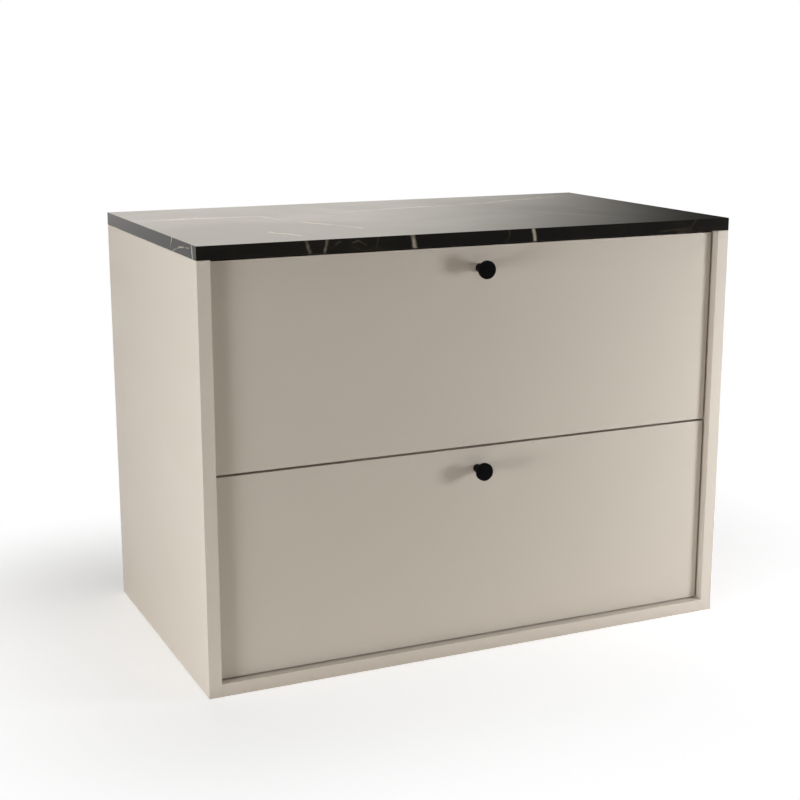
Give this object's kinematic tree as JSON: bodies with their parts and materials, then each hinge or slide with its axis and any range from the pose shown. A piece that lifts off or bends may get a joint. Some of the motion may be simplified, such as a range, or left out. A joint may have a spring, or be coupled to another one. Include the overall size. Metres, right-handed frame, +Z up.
{
  "type": "vanity cabinet",
  "caption": "Wall-hung vanity cabinet with inset sliding drawers on ball-bearing runners, round knobs and a flush marble-look worktop.",
  "frame": {"origin": "centre of the carcass underside, halfway between the sides and between the front and rear edges", "axes": "+X to the right seen from the front, +Y towards the wall behind, +Z up; the drawers open along -Y"},
  "size_m": [0.8, 0.463, 0.6],
  "materials": {
    "lacquer": "matt beige lacquer on board",
    "worktop_laminate": "satin black marble-look laminate on board",
    "carcass_board": "matt beige melamine",
    "drawer_board": "matt grey melamine",
    "drawer_bottom": "matt grey melamine",
    "runner_steel": "zinc-plated rolled steel",
    "ball_steel": "polished steel balls in a plated cage",
    "screw_steel": "zinc-plated",
    "cam_zinc": "die-cast zinc",
    "beech": "plain beech",
    "knob_black": "matt black"
  },
  "bodies": {
    "cabinet": {"bottom_panel": "lacquer", "bottom_rear_rail": "carcass_board", "cabinet_rail_screws": "screw_steel", "carcass_cam_bolts": "screw_steel", "carcass_cams": "cam_zinc", "carcass_dowels": "beech", "front_stretcher": "carcass_board", "hanging_rail": "carcass_board", "left_side_panel": "lacquer", "lower_left_cabinet_rail": "runner_steel", "lower_right_cabinet_rail": "runner_steel", "rear_stretcher": "carcass_board", "right_side_panel": "lacquer", "upper_left_cabinet_rail": "runner_steel", "upper_right_cabinet_rail": "runner_steel", "worktop": "worktop_laminate", "worktop_screws": "screw_steel"},
    "upper_drawer": {"upper_box_bottom": "drawer_bottom", "upper_box_dowels": "beech", "upper_drawer_front": "lacquer", "upper_drawer_rail_screws": "screw_steel", "upper_front_screws": "screw_steel", "upper_inner_front": "drawer_board", "upper_knob": "knob_black", "upper_knob_screw": "screw_steel", "upper_left_box_back": "drawer_board", "upper_left_box_side": "drawer_board", "upper_left_drawer_rail": "runner_steel", "upper_left_trap_wall": "drawer_board", "upper_right_box_back": "drawer_board", "upper_right_box_side": "drawer_board", "upper_right_drawer_rail": "runner_steel", "upper_right_trap_wall": "drawer_board", "upper_trap_front_wall": "drawer_board", "upper_trap_wall_screws": "screw_steel"},
    "upper_middle_rails": {"upper_left_middle_rail": "runner_steel", "upper_right_middle_rail": "runner_steel"},
    "upper_outer_cages": {"upper_outer_ball_cages": "ball_steel"},
    "upper_inner_cages": {"upper_inner_ball_cages": "ball_steel"},
    "lower_drawer": {"lower_box_back": "drawer_board", "lower_box_bottom": "drawer_bottom", "lower_box_dowels": "beech", "lower_drawer_front": "lacquer", "lower_drawer_rail_screws": "screw_steel", "lower_front_screws": "screw_steel", "lower_inner_front": "drawer_board", "lower_knob": "knob_black", "lower_knob_screw": "screw_steel", "lower_left_box_side": "drawer_board", "lower_left_drawer_rail": "runner_steel", "lower_right_box_side": "drawer_board", "lower_right_drawer_rail": "runner_steel"},
    "lower_middle_rails": {"lower_left_middle_rail": "runner_steel", "lower_right_middle_rail": "runner_steel"},
    "lower_outer_cages": {"lower_outer_ball_cages": "ball_steel"},
    "lower_inner_cages": {"lower_inner_ball_cages": "ball_steel"}
  },
  "joints": [
    {"name": "upper_drawer_slide", "type": "slide", "parent": "cabinet", "child": "upper_drawer", "axis": [0, -1, 0], "range_m": [0, 0.35]},
    {"name": "upper_outer_cages_slide", "type": "slide", "parent": "cabinet", "child": "upper_outer_cages", "axis": [0, -1, 0], "range_m": [0, 0.0875]},
    {"name": "upper_middle_rails_slide", "type": "slide", "parent": "cabinet", "child": "upper_middle_rails", "axis": [0, -1, 0], "range_m": [0, 0.175]},
    {"name": "upper_inner_cages_slide", "type": "slide", "parent": "cabinet", "child": "upper_inner_cages", "axis": [0, -1, 0], "range_m": [0, 0.2625]},
    {"name": "lower_drawer_slide", "type": "slide", "parent": "cabinet", "child": "lower_drawer", "axis": [0, -1, 0], "range_m": [0, 0.35]},
    {"name": "lower_outer_cages_slide", "type": "slide", "parent": "cabinet", "child": "lower_outer_cages", "axis": [0, -1, 0], "range_m": [0, 0.0875]},
    {"name": "lower_middle_rails_slide", "type": "slide", "parent": "cabinet", "child": "lower_middle_rails", "axis": [0, -1, 0], "range_m": [0, 0.175]},
    {"name": "lower_inner_cages_slide", "type": "slide", "parent": "cabinet", "child": "lower_inner_cages", "axis": [0, -1, 0], "range_m": [0, 0.2625]}
  ],
  "couplings": [
    {"joint": "upper_outer_cages_slide", "follows": "upper_drawer_slide", "ratio": 0.25},
    {"joint": "upper_middle_rails_slide", "follows": "upper_drawer_slide", "ratio": 0.5},
    {"joint": "upper_inner_cages_slide", "follows": "upper_drawer_slide", "ratio": 0.75},
    {"joint": "lower_outer_cages_slide", "follows": "lower_drawer_slide", "ratio": 0.25},
    {"joint": "lower_middle_rails_slide", "follows": "lower_drawer_slide", "ratio": 0.5},
    {"joint": "lower_inner_cages_slide", "follows": "lower_drawer_slide", "ratio": 0.75}
  ]
}
